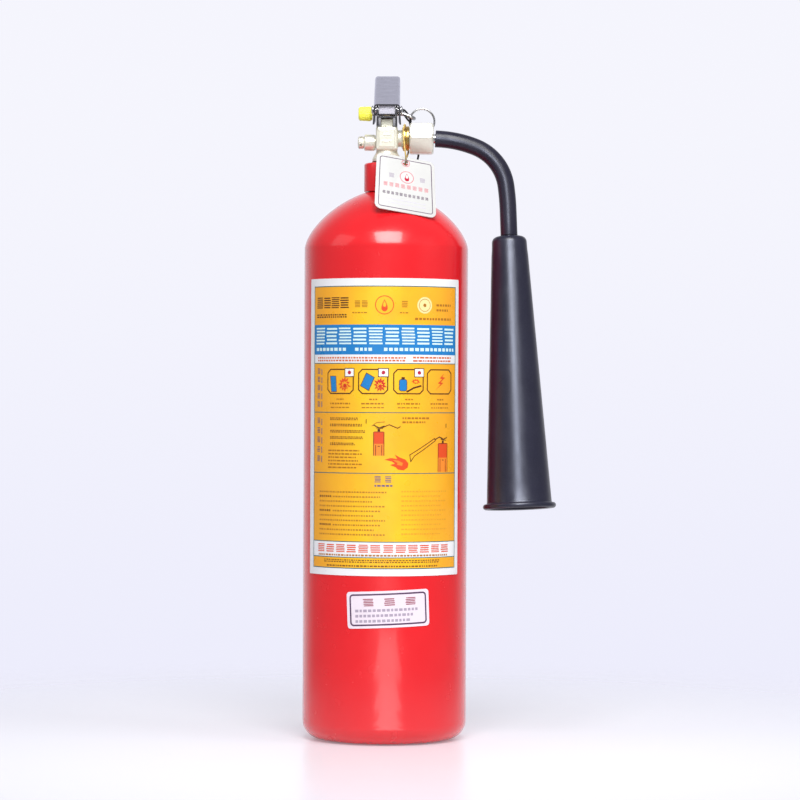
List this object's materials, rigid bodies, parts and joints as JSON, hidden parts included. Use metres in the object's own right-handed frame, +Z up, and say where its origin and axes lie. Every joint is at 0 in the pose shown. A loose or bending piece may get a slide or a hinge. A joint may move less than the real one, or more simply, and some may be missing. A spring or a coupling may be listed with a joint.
{
  "type": "portable carbon dioxide fire extinguisher",
  "caption": "Red hand-held gas cylinder on a flat base, with a squeeze-grip valve, safety pin, swivelling bent discharge tube and black horn, and a hang tag.",
  "frame": {"origin": "centre of the flat base, on the cylinder's axis", "axes": "+Z up along the cylinder; the front label faces -Y; the outlet, discharge tube and horn are on the +X side; the grips point towards +Y"},
  "size_m": [0.2047, 0.1711, 0.5494],
  "materials": {
    "red_paint": "glossy red paint",
    "nickel_plate": "satin nickel plating, slightly warm",
    "brass": "machined brass",
    "black_steel": "semi-gloss black coating",
    "steel": "bright zinc or stainless",
    "sleeve_rubber": "satin black rubber",
    "horn_plastic": "satin dark grey moulding",
    "yellow_plastic": "glossy lemon yellow",
    "black_nylon": "black nylon",
    "seal_rubber": "matt black",
    "dip_plastic": "translucent white",
    "label_film": "printed film, orange with a blue band",
    "sticker_film": "printed film, white",
    "tag_card": "laminated white card",
    "gold_cord": "gold cord"
  },
  "bodies": {
    "cylinder_and_valve": {"cylinder": "red_paint", "neck_ring": "red_paint", "valve_body": "nickel_plate", "neck_gasket": "seal_rubber", "dip_tube": "dip_plastic", "stem_seal": "seal_rubber", "stem_spring": "steel", "gland_nut": "brass", "burst_plug": "nickel_plate", "burst_disc": "brass", "lock_ring": "brass", "union_nut": "nickel_plate", "outlet_gasket": "seal_rubber", "carry_handle": "black_steel", "lever_pivot": "steel", "pivot_bush": "steel", "front_label": "label_film", "inspection_label": "sticker_film"},
    "lever": {"squeeze_lever": "black_steel"},
    "stem": {"stem": "steel", "poppet_washer": "seal_rubber", "stem_cap": "steel"},
    "pin": {"safety_pin": "steel"},
    "ring": {"pull_ring": "steel", "seal_tie": "black_nylon"},
    "cap": {"seal_cap": "yellow_plastic"},
    "discharge": {"discharge_tube": "steel", "tube_sleeve": "sleeve_rubber", "tube_ferrule": "brass", "horn": "horn_plastic", "horn_nozzle": "brass"},
    "tag": {"hang_tag": "tag_card", "tag_string": "gold_cord", "string_knot": "gold_cord"}
  },
  "joints": [
    {"name": "lever_squeeze", "type": "hinge", "parent": "cylinder_and_valve", "child": "lever", "pos_m": [0, -0.0095, 0.5103], "axis": [-1, 0, 0], "range_deg": [0, 13], "stiffness_Nm_per_rad": 2, "springref_deg": -5.73},
    {"name": "stem_press", "type": "slide", "parent": "cylinder_and_valve", "child": "stem", "axis": [0, 0, -1], "range_m": [0, 0.0022], "deforming": ["stem_spring"]},
    {"name": "pin_pull", "type": "slide", "parent": "cylinder_and_valve", "child": "pin", "axis": [1, 0, 0], "range_m": [0, 0.035]},
    {"name": "cap_pull", "type": "slide", "parent": "cylinder_and_valve", "child": "cap", "axis": [-1, 0, 0], "range_m": [0, 0.02]},
    {"name": "ring_swing", "type": "hinge", "parent": "pin", "child": "ring", "pos_m": [0.019, 0.0194, 0.50735], "axis": [0, 1, 0], "range_deg": [-25, 25]},
    {"name": "horn_swing", "type": "hinge", "parent": "cylinder_and_valve", "child": "discharge", "pos_m": [0, 0, 0.4879], "axis": [-1, 0, 0], "range_deg": [-100, 110]},
    {"name": "tag_lift", "type": "hinge", "parent": "cylinder_and_valve", "child": "tag", "pos_m": [0, 0, 0.4879], "axis": [-1, 0, 0], "range_deg": [0, 70]}
  ],
  "couplings": [
    {"joint": "stem_press", "follows": "lever_squeeze", "m_per_rad": 0.0095}
  ]
}
